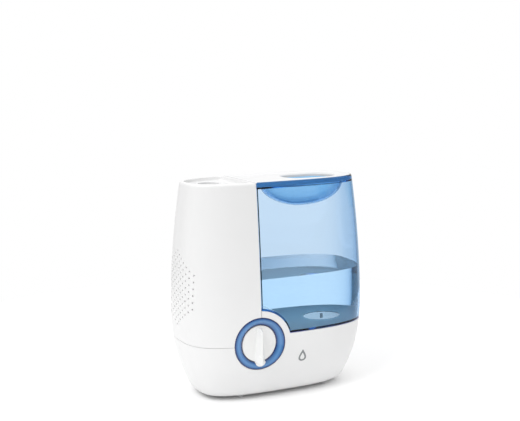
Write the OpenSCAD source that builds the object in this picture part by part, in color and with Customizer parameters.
// Cool mist ultrasonic humidifier: a white base and mist tower around a blue lift-off water tank.
// Millimetres, +Z up, front towards -Y. The origin is under the middle of the whole object.

/* [Body] */
// Height of the whole humidifier on its feet
height = 310; // [300:1:320]
// Widest half width of the body
half_width = 141; // [136:1:146]
// Half width of the body at its top
top_half_width = 128; // [124:1:132]
// Half width of the body at its underside
foot_half_width = 111.5; // [108:0.5:115]
// Deepest half depth of the body
half_depth = 75; // [73:0.5:78]
// Half depth of the body at its top
top_half_depth = 55.7; // [54:0.1:58]
// Half depth of the body at its underside
foot_half_depth = 50.5; // [49:0.5:52]
// Squareness of the plan outline, where 2 is an ellipse
squareness = 3.05; // [2.8:0.05:3.3]
// Thickness of the moulded walls
wall = 2.6; // [2.2:0.1:3]

/* [Seams] */
// Left face of the water tank, where the tower ends
tank_left = -43.4; // [-45:0.1:-42]
// Height of the joint between tower and base
tower_seam = 84.7; // [83:0.1:86]
// Height of the tank's underside
tank_bottom = 97.3; // [96.5:0.1:98]

/* [Dial] */
// Distance of the dial from the middle of the body
dial_x = -46; // [-47:0.5:-45]
// Height of the dial's centre
dial_z = 86; // [85:0.5:87]
// Outer radius of the white collar around the dial
collar_r = 46.4; // [46:0.1:47]
// Outer radius of the blue ring
ring_r = 37.3; // [36:0.1:38]
// Radius of the knob's round base
knob_r = 25.8; // [25:0.1:26]

/* [Mist outlet] */
// Distance of the mist chimney from the middle of the body
chimney_x = -91; // [-92:0.5:-90]
// Bore radius of the chimney
chimney_r = 16.5; // [15:0.5:17]
// Radius of the round outlet cover
cover_r = 30; // [28:0.5:30.5]

/* [Tank fittings] */
// Distance of the filler neck from the middle of the body
neck_x = 76; // [74:1:78]
// Front-to-back place of the filler neck
neck_y = -6; // [-8:1:-4]
// Bore radius of the filler neck
neck_r = 26; // [25:0.5:26]

/* [Air vents] */
// Radius of one vent hole
vent_r = 1.4; // [1:0.1:1.6]
// Height between holes in a column
vent_pitch = 9.5; // [9:0.1:10]
// Columns of holes on each side of the middle one
vent_columns = 6; // [3:1:6]

/* [Hidden] */
$fn = 64;

// Body form
base_z = 4;                 // underside of the base above the table
base_round = 11.5;          // rounding of the lower edge
top_round = 3.5;            // rounding of the upper edge
width_belly_z = 134;        // height of the widest point
depth_belly_z = 84;         // height of the deepest point
back_fall = 3.5;            // how much lower the top is at its back than at its front
fall_z = 250;               // height above which it falls
seam_gap = 0.3;             // half of the gap between neighbouring mouldings
knob_reach = 80.5;          // knob's front in front of the body's own centre
body_y = (knob_reach - half_depth) / 2;   // puts the origin under the middle of the whole
dial_y = -half_depth;       // frontmost plane of the body

// Base
deck_t = 2.6;
tower_deck = tower_seam - 0.5;
tank_deck = tank_bottom - 0.5;
floor_opening = [86, 21];   // half sizes of the opening that the bottom plate fills
plate_rim = 3;              // overlap of the plate under the base
foot_places = [[-58, 32.5], [76, 30]];
foot_r = 5;
boss_places = [[-72, 15], [0, 16], [72, 15]];
boss_r = 4;
screw_r = 1.5;
standoffs = [for (x = [-44, -16, 26, 52], y = [-13, 13]) [x, y]];
gland_x = 60;
gland_z = 30;

// Basin
basin_floor = 42;
basin_t = 2.4;
channel = [[-114, -32], [20, 38]];        // under the tower and the float
well = [[8, -42], [110.5, 42]];           // under the tank's cap
basin_corner = 10;
basin_lip = 4;
basin_lip_t = 1.8;
float_x = -24;
float_y = 4;

// Dial
turret_back = -37;
ring_hole_r = ring_r + 0.3;
ring_bore_r = knob_r + 0.7;
ring_dish = 6.5;            // how far the ring slopes inward
knob_face = dial_y + 5.5;   // front face of the knob's round base
lobe_y = dial_y + 0.4;      // pointer lobe's middle, clear of the ring
pot_front = dial_y + 22;
shaft_r = 3;

// Top of the tower
dish_z = height - 7;        // floor of its dish
dish_rim = 6;

// Fan
fan_x = -124;
fan_z = 150;
fan_size = 50;
fan_t = 13;

// Mist maker
disc_r = 10;

// Tank
tank_wall = 2.4;
tank_top = height - 0.3;
tank_ceiling = height - 8;
bowl_x = 54;
bowl_half = [63, 40];
bowl_depth = 38;
grip = [[28, -22], [108, 32]];            // finger opening in the lid
lid_inset = 1.8;
cap_r = neck_r + 6.2;
cap_z = 80.5;
plate_t = 2.5;
valve_open = 4;             // how far the pin holds the plunger up

// Colours
shell_white = [0.94, 0.94, 0.93];
inner_white = [0.86, 0.87, 0.88];
tank_blue = [0.35, 0.62, 0.9, 0.5];
ring_blue = [0.12, 0.3, 0.66];
grey = [0.6, 0.62, 0.65];
board_green = [0.1, 0.4, 0.24];
steel = [0.72, 0.73, 0.75];
dark = [0.14, 0.14, 0.15];
copper = [0.75, 0.45, 0.25];

// ---------------------------------------------------------------- the body's form

// Half size at height z: widest at belly_z, easing to its top and foot values
function half_size(z, widest, at_top, at_foot, belly_z, up, down) =
  widest
  - (widest - at_top) * pow(max(0, (z - belly_z) / (height - belly_z)), up)
  - (widest - at_foot) * pow(max(0, (belly_z - z) / (belly_z - base_z)), down);
function half_w(z) =
  half_size(z, half_width, top_half_width, foot_half_width, width_belly_z, 1.8, 2.15);
function half_d(z) =
  half_size(z, half_depth, top_half_depth, foot_half_depth, depth_belly_z, 1.4, 1.95);

// How far a rounded edge has drawn in at depth q into a radius r
function round_in(q, r) = r - sqrt(max(0, r * r - pow(min(max(q, 0), r), 2)));
function edge_in(z, top) =
  round_in(base_round - (z - base_z), base_round) + round_in(top_round - (top - z), top_round);

// How far the top has fallen at height z and depth y, so that each ring stays flat
function fallen(z, y) =
  back_fall * max(0, (z - fall_z) / (height - fall_z)) * (1 + y / half_d(z)) / 2;

// A point of the plan outline at parameter t, for half sizes a and b
function signed_pow(v, e) = sign(v) * pow(abs(v), e);
function outline(t, a, b) =
  [a * signed_pow(cos(t), 2 / squareness), b * signed_pow(sin(t), 2 / squareness)];

// Angle at which the outline crosses the plane x = cut, measured from the -X end
function cut_angle(a, cut) = acos(pow(abs(cut) / a, squareness / 2));

// One horizontal ring of the body. part: 0 whole, 1 right of the cut, -1 left of it
function ring(z, inset, part, cut, steps) =
  let (
    a = half_w(z) - inset,
    b = half_d(z) - inset,
    w = part == 0 ? 180 : part > 0 ? 180 - cut_angle(a, cut) : cut_angle(a, cut),
    middle = part < 0 ? 180 : 0,
    count = part == 0 ? steps : steps + 1
  )
  [for (i = [0:count - 1]) let (p = outline(middle - w + 2 * w * i / steps, a, b))
    [p.x, p.y, z - fallen(z, p.y)]];

// A closed solid through rings of equal length
module loft(rings) {
  n = len(rings[0]);
  m = len(rings);
  points = [for (r = rings) each r];
  sides = [
    for (k = [0:m - 2], i = [0:n - 1])
      each [
        [k * n + i, (k + 1) * n + (i + 1) % n, k * n + (i + 1) % n],
        [k * n + i, (k + 1) * n + i, (k + 1) * n + (i + 1) % n]
      ]
  ];
  caps = [[for (i = [0:n - 1]) i], [for (i = [n - 1:-1:0]) (m - 1) * n + i]];
  polyhedron(points = points, faces = concat(sides, caps));
}

// Heights of the rings of a skin: close together at rounded edges, wider apart elsewhere
function arc_steps(count) = [for (i = [0:count]) 90 * i / count];
function skin_levels(z0, z1, count) = [for (i = [0:count]) z0 + (z1 - z0) * i / count];
function foot_levels() = [for (a = arc_steps(4)) base_z + base_round * (1 - cos(a))];
function rim_levels(top) = [for (a = arc_steps(4)) top - top_round * (1 - sin(a))];

// Body skin from height to height, rounded at a given top, inset all round
module body_skin(levels, top, part = 0, cut = 0, steps = 56, inset = 0)
  loft([for (z = levels) ring(z, inset + edge_in(z, top), part, cut, steps)]);

// Straight-sided core for the inside of a moulding
module body_core(levels, inset, part = 0, cut = 0, steps = 56)
  loft([for (z = levels) ring(z, inset, part, cut, steps)]);

// Flat plate in the body's outline at one height
module outline_plate(z, t, inset, steps = 56)
  translate([0, 0, z])
    linear_extrude(t)
      polygon([for (i = [0:steps - 1]) outline(360 * i / steps, half_w(z) - inset, half_d(z) - inset)]);

// Everything is drawn around the body's own centre, then moved to the frame's origin
module in_frame() translate([0, body_y, 0]) children();

// ---------------------------------------------------------------- shared shapes

module box(low, high) translate(low) cube(high - low);
module turned(x, y, z) translate([x, y, z]) rotate_extrude() children();
module disc(x, y, z, r, h) translate([x, y, z]) cylinder(r = r, h = h);
module dial_disc(y0, y1, r)
  translate([dial_x, y0, dial_z]) rotate([-90, 0, 0]) cylinder(r = r, h = y1 - y0);

module mirrored_y() {
  children();
  mirror([0, 1, 0]) children();
}

module rounded_slab(low, high, r, z, h)
  translate([0, 0, z])
    linear_extrude(h) {
      translate(low + [r, 0]) square(high - low - [2 * r, 0]);
      translate(low + [0, r]) square(high - low - [0, 2 * r]);
      for (x = [low.x + r, high.x - r], y = [low.y + r, high.y - r])
        translate([x, y]) circle(r);
    }

// Pan-head screw, head down, its thread standing up from z
module screw(x, y, z, length, head_r = 3, head_h = 2, r = screw_r)
  translate([x, y, z])
    difference() {
      union() {
        cylinder(r = head_r, h = head_h);
        cylinder(r = r, h = head_h + length);
      }
      translate([0, 0, -1]) cylinder(r = head_r * 0.5, h = 2, $fn = 6);
    }

// ---------------------------------------------------------------- base

module basin_slabs(grow, z, h) {
  rounded_slab(channel[0] - [grow, grow], channel[1] + [grow, grow], basin_corner, z, h);
  rounded_slab(well[0] - [grow, grow], well[1] + [grow, grow], basin_corner, z, h);
}

module base_shell() color(shell_white) in_frame() {
  low_levels = concat(foot_levels(), skin_levels(base_z + base_round + 12, tower_seam, 4));
  difference() {
    union() {
      // outer wall with the taller part under the tank
      difference() {
        body_skin(concat(low_levels, [tank_bottom - seam_gap]), height);
        box([-200, -100, tower_seam - seam_gap], [tank_left, 100, 120]);
        body_skin(concat([base_z + 3, base_z + 6], skin_levels(base_z + base_round, tank_bottom + 5, 6)),
                  height, steps = 48, inset = wall);
        box([-floor_opening.x, -floor_opening.y, 0], [floor_opening.x, floor_opening.y, 10]);
      }
      base_decks();
      dial_turret();
      // flat boss behind the gland
      translate([gland_x, 50, gland_z]) rotate([-90, 0, 0]) cylinder(r = 11, h = 13);
    }
    dial_disc(dial_y - 5, turret_back - 2, ring_hole_r);
    // room behind the dial for its works
    box([dial_x - 38, dial_y + 12, dial_z - 34], [tank_left, turret_back - 2.5, tank_deck + 1]);
    box([tank_left - 1, dial_y + 12, dial_z - 34], [dial_x + 37, turret_back - 2.5, tank_deck - 1]);
    mirrored_y() for (p = foot_places) disc(p.x, p.y, 0, foot_r + 0.1, base_z + 1.2);
    translate([gland_x, 0, gland_z])
      rotate([-90, 0, 0]) {
        translate([0, 0, 40]) cylinder(r = 6.5, h = 40);
        translate([0, 0, 63]) cylinder(r = 9.6, h = 20);
      }
  }
}

// Two decks, the lower under the tower, with the basin's opening through both
module base_decks() difference() {
  union() {
    intersection() {
      outline_plate(tank_deck - deck_t, deck_t, wall / 2);
      box([tank_left, -100, 0], [200, 100, 120]);
    }
    intersection() {
      outline_plate(tower_deck - deck_t, deck_t, wall / 2);
      box([-200, -100, 0], [tank_left + deck_t, 100, 120]);
    }
    box([tank_left, -73, tower_deck - deck_t], [tank_left + deck_t, 73, tank_deck]);
  }
  basin_slabs(basin_t + 0.2, 60, 60);
}

// Quarter collar of the dial that stands up into the tank's notch
module dial_turret() difference() {
  intersection() {
    body_core(skin_levels(tower_seam - 20, tank_bottom + 45, 6), 0);
    dial_disc(dial_y - 5, turret_back, collar_r);
    box([tank_left, -100, tank_deck - deck_t], [100, 0, 200]);
  }
  dial_disc(dial_y + 7, turret_back - wall, collar_r - wall);
}

// Plate with a rim under the base and standoffs for the boards
module bottom_plate() color(shell_white) in_frame() difference() {
  rim = floor_opening + [plate_rim, plate_rim];
  inner = floor_opening - [0.2, 0.2];
  union() {
    rounded_slab(-rim, rim, 6, base_z - 1.6, 1.6);
    box([-inner.x, -inner.y, base_z], [inner.x, inner.y, base_z + 2.6]);
    for (p = standoffs) disc(p.x, p.y, base_z + 2, 2.6, 5.6);
  }
  for (p = boss_places) mirrored_y() {
    disc(p.x, p.y, 0, screw_r + 0.05, 30);
    disc(p.x, p.y, 0, 3.2, base_z + 0.6);
  }
  for (p = standoffs) disc(p.x, p.y, base_z + 3, 1.25, 8);
  // cooling slots under the boards
  for (row = [[-36:6:-6], [32:6:50]], x = row) rounded_slab([x - 1.2, -9], [x + 1.2, 9], 1.19, 0, 20);
}

module rubber_feet() color(grey) in_frame()
  mirrored_y() for (p = foot_places) disc(p.x, p.y, 0, foot_r, base_z + 1.2);

module housing_screws() color(steel) in_frame()
  for (p = boss_places) mirrored_y() screw(p.x, p.y, base_z - 1.4, 14);

// Water tray under the decks, with a baffle in front of the mist chamber and legs for the screws
module basin() color(inner_white) in_frame() difference() {
  union() {
    difference() {
      union() {
        basin_slabs(basin_t, basin_floor, tank_deck - basin_floor);
        basin_slabs(basin_t + basin_lip, tower_deck - deck_t - basin_lip_t, basin_lip_t);
        rounded_slab(well[0] - [basin_t + basin_lip, basin_t + basin_lip],
                     well[1] + [basin_t + basin_lip, basin_t + basin_lip],
                     basin_corner, tank_deck - deck_t - basin_lip_t, basin_lip_t);
        // socket under the mist maker's disc
        disc(chimney_x, 0, basin_floor - 3, 15, 4);
      }
      difference() {
        basin_slabs(0, basin_floor + basin_t, 80);
        // low weir between well and channel
        box([well[0].x - 1, -50, 0], [well[0].x + 1, 50, basin_floor + 12]);
      }
      box([-200, -60, tower_deck], [tank_left, 60, 120]);
    }
    box([tank_left - 5, channel[0].y - 1, basin_floor + 14], [tank_left - 3, channel[1].y + 1, tower_deck]);
    for (p = boss_places) mirrored_y() disc(p.x, p.y, base_z + 2.8, boss_r, basin_floor - base_z - 2);
  }
  disc(chimney_x, 0, 0, disc_r - 1, 60);
  disc(chimney_x, 0, 0, disc_r + 2.5, basin_floor + 0.4);
  for (a = [30:120:270])
    translate([chimney_x, 0, 0]) rotate(a) disc(13.8, 0, 0, 0.9, basin_floor + 0.5);
  for (p = boss_places) mirrored_y() disc(p.x, p.y, 0, screw_r + 0.05, 20);
}

module cord_gland() color(dark) in_frame()
  translate([gland_x, 0, gland_z])
    rotate([-90, 0, 0])
      difference() {
        union() {
          translate([0, 0, 48]) cylinder(r = 6.5, h = 15);
          translate([0, 0, 63]) cylinder(r = 9, h = 2.5);
          translate([0, 0, 46]) cylinder(r = 8.5, h = 3.9);
        }
        translate([0, 0, 40]) cylinder(r = 3.4, h = 30);
      }

// ---------------------------------------------------------------- tower

module tower_housing() color(shell_white) in_frame() {
  right = tank_left - 2 * seam_gap;
  levels = concat(skin_levels(tower_seam, height - top_round - 1, 15), rim_levels(height - 1));
  difference() {
    body_skin(levels, height - 1, -1, right, 32);
    body_core(skin_levels(tower_seam - 5, dish_z - 6, 12), wall, -1, right - wall, 28);
    // dished top with the outlet's seat in its floor
    body_core([dish_z, height + 3], dish_rim, -1, right - dish_rim, 28);
    disc(chimney_x, 0, dish_z - 10, cover_r - 3, 20);
    turned(chimney_x, 0, dish_z)
      polygon([[0, -5], [cover_r - 3, -5], [cover_r + 0.5, -2], [cover_r + 0.5, 8], [0, 8]]);
    dial_disc(dial_y - 5, turret_back, ring_hole_r);
    air_vents();
  }
}

module air_vents()
  for (i = [-vent_columns:vent_columns]) {
    count = 12 - abs(i);
    for (k = [0:count - 1])
      translate([-half_width - 5, i * 6.55, 161 + (k - (count - 1) / 2) * vent_pitch])
        rotate([0, 90, 0]) cylinder(r = vent_r, h = 20);
  }

// Mist tube on its foot plate, which closes the mist chamber
module mist_chimney() color(inner_white) in_frame() difference() {
  union() {
    disc(chimney_x, 0, tower_seam, chimney_r + 2.2, height - 20 - tower_seam);
    rounded_slab([channel[0].x - 3, channel[0].y - 1], [tank_left - 4, channel[1].y + 3], 8, tower_seam, 2.4);
    disc(chimney_x, 0, tower_seam, chimney_r + 5, 8);
  }
  disc(chimney_x, 0, 0, chimney_r, height);
  rounded_slab([-114, -20], [-112.6 + 2, 20], 1, 0, 200);
}

// Dished disc with the mist outlet's nozzle in its middle
module outlet_cover() color(inner_white) in_frame() turned(chimney_x, 0, dish_z)
  polygon([
    [14.5, -23], [chimney_r - 0.4, -23], [chimney_r - 0.4, -7.5], [cover_r - 3.4, -4.7],
    [cover_r, -1.4], [cover_r, -0.2], [cover_r - 1.6, -0.2], [cover_r - 4, -2.6], [18.5, -4.4],
    [17, 1], [14.5, 1]
  ]);

module air_duct() color(inner_white) in_frame() difference() {
  box([-132.5, -25, tower_seam + 2.4], [-111.6, 25, fan_z + 25]);
  box([-130.5, -23, tower_seam], [-113, 23, fan_z - 28]);
  box([-116, -23, tower_seam], [-113, 23, fan_z + 23]);
  box([-140, -26, fan_z - 25.3], [fan_x + fan_t / 2, 26, fan_z + 30]);
  translate([fan_x, 0, fan_z])
    rotate([0, 90, 0]) {
      cylinder(r = 23, h = 10);
      for (x = [-20.5, 20.5], y = [-20.5, 20.5]) translate([x, y, 0]) cylinder(r = 1.45, h = 10);
    }
}

module fan_frame() color(dark) in_frame() translate([fan_x, 0, fan_z]) rotate([0, 90, 0])
  difference() {
    union() {
      difference() {
        translate([-25, -25, -fan_t / 2]) cube([fan_size, fan_size, fan_t]);
        translate([0, 0, -10]) cylinder(r = 23, h = 20);
      }
      // motor plate on three arms, on the duct's side
      translate([0, 0, fan_t / 2 - 2]) cylinder(r = 9, h = 2);
      for (a = [0:120:240]) rotate(a) translate([7, -1.2, fan_t / 2 - 2]) cube([17, 2.4, 2]);
    }
    translate([0, 0, -10]) cylinder(r = 1.05, h = 20);
    for (x = [-20.5, 20.5], y = [-20.5, 20.5]) translate([x, y, -10]) cylinder(r = 1.6, h = 20);
  }

module fan_motor() color(copper) in_frame() translate([fan_x, 0, fan_z]) rotate([0, 90, 0])
  difference() {
    union() {
      translate([0, 0, -3.4]) cylinder(r = 6.5, h = 7.9);
      translate([0, 0, fan_t / 2 - 2]) cylinder(r = 1.05, h = 1.5);
    }
    translate([0, 0, -4]) cylinder(r = 1.05, h = 8);
  }

// Hub cup, shaft and seven pitched blades
module fan_impeller() color(grey) in_frame() translate([fan_x, 0, fan_z]) rotate([0, 90, 0]) {
  difference() {
    translate([0, 0, -5.5]) cylinder(r = 8.6, h = 9.4);
    translate([0, 0, -4]) cylinder(r = 7.1, h = 9);
  }
  translate([0, 0, -4.5]) cylinder(r = 1, h = 7.5);
  for (a = [0:360 / 7:359])
    rotate(a)
      translate([8.1, 0, -0.6])
        rotate([38, 0, 0])
          translate([0, -4.4, -0.6]) cube([13.6, 8.8, 1.2]);
}

module fan_screws() color(steel) in_frame()
  for (y = [-20.5, 20.5], z = [-20.5, 20.5])
    translate([fan_x - fan_t / 2 - 1.8, y, fan_z + z]) rotate([0, 90, 0]) screw(0, 0, 0, 13.6, 2.8, 1.8, 1.4);

// ---------------------------------------------------------------- mist maker and boards

module transducer_disc() color(steel) in_frame()
  disc(chimney_x, 0, basin_floor - 1.9, disc_r, 1.2);

module transducer_seal() color(dark) in_frame() turned(chimney_x, 0, basin_floor - 3)
  polygon([[disc_r - 2, 0], [disc_r + 2.3, 0], [disc_r + 2.3, 3.3], [disc_r - 2, 3.3],
    [disc_r - 2, 2.35], [disc_r + 0.05, 2.35], [disc_r + 0.05, 1.05], [disc_r - 2, 1.05]]);

module transducer_clamp() color(steel) in_frame() difference() {
  disc(chimney_x, 0, basin_floor - 5, 16, 1.9);
  disc(chimney_x, 0, 0, 7, 60);
  for (a = [30:120:270])
    translate([chimney_x, 0, 0]) rotate(a) disc(13.8, 0, 0, 1.1, 60);
}

module transducer_screws() color(steel) in_frame() translate([chimney_x, 0, 0])
  for (a = [30:120:270]) rotate(a) screw(13.8, 0, basin_floor - 6.6, 4.6, 1.8, 1.5, 0.9);

module board(x0, x1, z) difference() {
  box([x0, -17, z], [x1, 17, z + 1.6]);
  for (x = [x0 + 4, x1 - 4], y = [-13, 13]) disc(x, y, 0, 1.6, 60);
}

module driver_board() color(board_green) in_frame() {
  board(-48, -12, base_z + 7.7);
  for (x = [-32:6:-20]) disc(x, 8, base_z + 9.2, 2.6, 9);
  box([-34, -12, base_z + 9.2], [-24, -3, base_z + 15]);
  box([-42, 0, base_z + 9.2], [-38, 10, base_z + 16]);
}

// Finned sink on the driver's transistor
module heat_sink() color(steel) in_frame() {
  box([-22, -12, base_z + 9.4], [-19.5, 4, base_z + 26]);
  for (y = [-12:3.5:2]) box([-19.6, y, base_z + 12], [-13, y + 1.2, base_z + 26]);
}

module power_board() color(board_green) in_frame() {
  board(22, 56, base_z + 7.7);
  disc(27, 0, base_z + 9.2, 3, 12);
  disc(34.5, 12.5, base_z + 9.2, 2.6, 8);
  box([45, 11, base_z + 9.2], [48.5, 16, base_z + 18]);
}

module transformer() color(copper) in_frame() {
  box([33, -11, base_z + 9.4], [49, 8, base_z + 12.4]);
  disc(41, -1.5, base_z + 12.3, 7.4, 12);
  box([33, -11, base_z + 24.2], [49, 8, base_z + 27]);
}

module board_screws() color(steel) in_frame()
  for (p = standoffs)
    translate([p.x, p.y, base_z + 11.2]) rotate([180, 0, 0]) screw(0, 0, 0, 6, 2.4, 1.8, 1.2);

// ---------------------------------------------------------------- dial

module control_board() color(board_green) in_frame() difference() {
  box([dial_x - 30, pot_front + 8, dial_z - 26], [dial_x + 30, pot_front + 9.6, dial_z + 10]);
  dial_disc(dial_y, 0, 2);
}

module potentiometer() color(grey) in_frame() difference() {
  union() {
    dial_disc(pot_front, pot_front + 7.9, 8.2);
    dial_disc(pot_front - 6, pot_front + 1, 4.5);
    for (x = [-5, 0, 5])
      box([dial_x + x - 0.6, pot_front + 3, dial_z - 13], [dial_x + x + 0.6, pot_front + 4, dial_z - 4]);
  }
  dial_disc(dial_y, pot_front + 6, shaft_r + 0.05);
}

module potentiometer_nut() color(steel) in_frame()
  translate([dial_x, pot_front - 5.6, dial_z])
    rotate([-90, 0, 0])
      difference() {
        cylinder(r = 6.9, h = 2.4, $fn = 6);
        translate([0, 0, -1]) cylinder(r = 4.55, h = 5);
      }

module dial_shaft() color(steel) in_frame() difference() {
  dial_disc(knob_face + 3, pot_front + 5.8, shaft_r);
  box([dial_x + 1.8, knob_face, dial_z - 5], [dial_x + 6, pot_front - 7.5, dial_z + 5]);
}

// Dished ring, flush with the curved front at its rim, on a back plate that carries the works
module dial_ring() color(ring_blue) in_frame() difference() {
  intersection() {
    translate([dial_x, dial_y, dial_z])
      rotate([-90, 0, 0])
        rotate_extrude()
          polygon([
            [5, pot_front - dial_y - 3.2], [ring_bore_r, pot_front - dial_y - 3.2],
            [ring_bore_r, ring_dish], [ring_r, -1], [ring_r, pot_front - dial_y - 1.2],
            [5, pot_front - dial_y - 1.2]
          ]);
    body_core(skin_levels(tower_seam - 45, tower_seam + 45, 8), -0.2);
  }
  dial_disc(dial_y, 0, 4.55);
}

module ring_lights() color([0.8, 0.9, 1]) in_frame()
  for (a = [45:90:315])
    translate([dial_x, 0, dial_z])
      rotate([0, a, 0])
        box([30, pot_front - 1.1, -2], [34, pot_front + 1.2, 2]);

// Round base and a grip blade that widens downward to a pointer lobe over the ring
module control_knob() color(shell_white) in_frame() difference() {
  union() {
    dial_disc(knob_face, knob_face + 5, knob_r);
    dial_disc(knob_face + 3, knob_face + 10, 6);
    hull() {
      for (z = [-24, 21]) knob_ball(0, -knob_reach + 1.5, z);
      for (x = [-3, 3]) knob_ball(x, knob_face + 1.5, 22);
      for (x = [-7, 7]) knob_ball(x, knob_face + 1.5, -20);
      for (x = [-4, 4]) knob_ball(x, lobe_y, -30);
    }
  }
  difference() {
    dial_disc(knob_face + 2.9, knob_face + 20, shaft_r + 0.03);
    box([dial_x + 1.83, knob_face, dial_z - 5], [dial_x + 6, knob_face + 9, dial_z + 5]);
  }
}

module knob_ball(x, y, z) translate([dial_x + x, y, dial_z + z]) sphere(r = 1.5, $fn = 8);

// ---------------------------------------------------------------- water control

module float_guide() color(inner_white) in_frame() {
  disc(float_x, float_y, basin_floor + basin_t, 6, 2);
  disc(float_x, float_y, basin_floor + basin_t, 3.9, 33);
  disc(float_x, float_y, basin_floor + basin_t + 33, 5.6, 2);
}

module float() color([0.92, 0.9, 0.82]) in_frame() difference() {
  disc(float_x, float_y, basin_floor + basin_t + 2.3, 13, 16);
  disc(float_x, float_y, basin_floor, 4.3, 60);
}

module valve_pin() color(inner_white) in_frame() {
  disc(neck_x, neck_y, basin_floor + basin_t, 2.4, cap_z - 4.3 - basin_floor - basin_t);
  for (a = [0:90:270])
    translate([neck_x, neck_y, basin_floor + basin_t])
      rotate(a) translate([0, -0.8, 0]) cube([9, 1.6, 8]);
}

// ---------------------------------------------------------------- tank

// Finger bowl under the tank's top, drawn in by the amount inset
module finger_bowl(inset, top)
  loft([
    for (i = [0:8])
      let (
        s = i / 8,
        scale_in = sqrt(max(0.04, 1 - pow(1 - s, 2.2))),
        z = tank_ceiling - (bowl_depth - inset) * (1 - s)
      )
        [for (t = [0:12:359])
          [bowl_x + (bowl_half.x - inset) * scale_in * signed_pow(cos(t), 0.8),
           (bowl_half.y - inset) * scale_in * signed_pow(sin(t), 0.8),
           i == 8 ? top : z]]
  ]);

module tank_notch(grow)
  dial_disc(-200, turret_back + seam_gap + grow, collar_r + 0.4 + grow);

module tank_body() color(tank_blue) in_frame() {
  levels = concat(
    skin_levels(tank_bottom, tank_top - top_round, 16),
    [for (z = rim_levels(tank_top)) if (z > tank_top - top_round + 0.1) z]
  );
  difference() {
    union() {
      difference() {
        body_skin(levels, tank_top, 1, tank_left, 40);
        tank_notch(0);
        difference() {
          body_core(skin_levels(tank_bottom + tank_wall, tank_ceiling - tank_wall, 12), tank_wall, 1,
                    tank_left + tank_wall, 36);
          tank_notch(tank_wall);
          finger_bowl(0, tank_ceiling + 1);
        }
      }
      disc(neck_x, neck_y, cap_z + 3.4, neck_r + tank_wall, tank_bottom - cap_z - 3);
    }
    // tray for the lid above the ceiling, open to the tower's side
    body_core([tank_ceiling, height - top_round, height + 3], lid_inset - 0.3, 1, tank_left - 1, 36);
    finger_bowl(tank_wall, tank_ceiling + 1);
    disc(neck_x, neck_y, 0, neck_r, tank_bottom + tank_wall + 1);
  }
}

// White top of the tank: dished, with a finger opening behind the grip bar
module tank_lid() color(shell_white) in_frame() difference() {
  body_core([tank_ceiling + 0.2, tank_top - 2, tank_top - 0.4], lid_inset, 1, tank_left + 0.2, 36);
  body_core([tank_top - 2.6, tank_top + 4], 9, 1, tank_left + 9, 36);
  rounded_slab(grip[0], grip[1], 26.5, tank_ceiling - 5, 30);
}

module tank_cap() color(inner_white) in_frame() translate([neck_x, neck_y, 0]) difference() {
  union() {
    disc(0, 0, cap_z, cap_r, 14.6);
    for (a = [0:15:345]) rotate(a) disc(cap_r, 0, cap_z, 1.2, 13);
  }
  disc(0, 0, cap_z + plate_t, neck_r + tank_wall + 0.4, 30);
  disc(0, 0, 0, 7, 200);
}

// Cage that guides the plunger and holds the spring's upper end is one piece with the seal ring
module cap_seal() color([0.75, 0.77, 0.8]) in_frame() translate([neck_x, neck_y, cap_z + plate_t]) {
  difference() {
    union() {
      cylinder(r = neck_r + 2, h = 0.8);
      cylinder(r = 16, h = 1.6);
    }
    translate([0, 0, -1]) cylinder(r = 6.2, h = 5);
  }
  for (a = [0:120:240]) rotate(a) disc(14, 0, 1, 1.6, 14);
  difference() {
    translate([0, 0, 14]) cylinder(r = 14.8, h = 2);
    translate([0, 0, 13]) cylinder(r = 2.1, h = 5);
  }
}

module valve_plunger() color(grey) in_frame() translate([neck_x, neck_y, cap_z]) {
  disc(0, 0, -4, 2, 26.5);
  disc(0, 0, plate_t + 1.7 + valve_open, 9.5, 2);
}

// Compression spring between the plunger's disc and the cage
module valve_spring() color(steel) in_frame() translate([neck_x, neck_y, 0])
  coil(cap_z + plate_t + 4.6 + valve_open, cap_z + plate_t + 13.2, 6.4, 0.5, 3);

module coil(z0, z1, r, wire, turns) {
  steps = round(turns * 14);
  loft([
    for (i = [0:steps])
      let (a = 360 * turns * i / steps, z = z0 + (z1 - z0) * i / steps)
        [for (s = [0:60:300])
          [(r + wire * cos(s)) * cos(a), (r + wire * cos(s)) * sin(a), z - wire * sin(s)]]
  ]);
}

// ---------------------------------------------------------------- wiring

function unit(v) = v / norm(v);
// Round lead through hand-placed points, bending squarely at each
module lead(route, r) {
  last = len(route) - 1;
  loft([
    for (i = [0:last])
      let (
        ahead = unit(route[min(i + 1, last)] - route[max(i - 1, 0)]),
        side = unit(cross(ahead, abs(ahead.z) < 0.8 ? [0, 0, 1] : [1, 0, 0])),
        up = cross(side, ahead)
      )
        [for (s = [0:45:315]) route[i] + r * (cos(s) * side + sin(s) * up)]
  ]);
}

module wiring() color([0.2, 0.2, 0.22]) in_frame() {
  // gland to power board
  lead([[60, 45, 30], [60, 38, 30], [58, 30, 27], [56, 22, 20], [53, 19, 16]], 2.2);
  // power board to driver board
  lead([[22, -8, 14], [16, -9, 15], [4, -9, 15], [-6, -8, 15], [-11.6, -8, 13.8]], 1.6);
  // driver board to the mist maker's disc
  lead([[-48.5, 6, 13], [-56, 5, 15], [-72, 2, 20], [-86, 0, 28], [-90, 0, 34], [-91, 0, 39]], 1.2);
}

base_shell();
bottom_plate();
rubber_feet();
housing_screws();
basin();
tower_housing();
mist_chimney();
outlet_cover();
air_duct();
fan_frame();
fan_motor();
fan_impeller();
fan_screws();
transducer_disc();
transducer_seal();
transducer_clamp();
transducer_screws();
driver_board();
heat_sink();
power_board();
transformer();
board_screws();
control_board();
potentiometer();
potentiometer_nut();
dial_shaft();
dial_ring();
ring_lights();
control_knob();
float_guide();
float();
valve_pin();
cord_gland();
tank_body();
tank_lid();
tank_cap();
cap_seal();
valve_plunger();
valve_spring();
wiring();
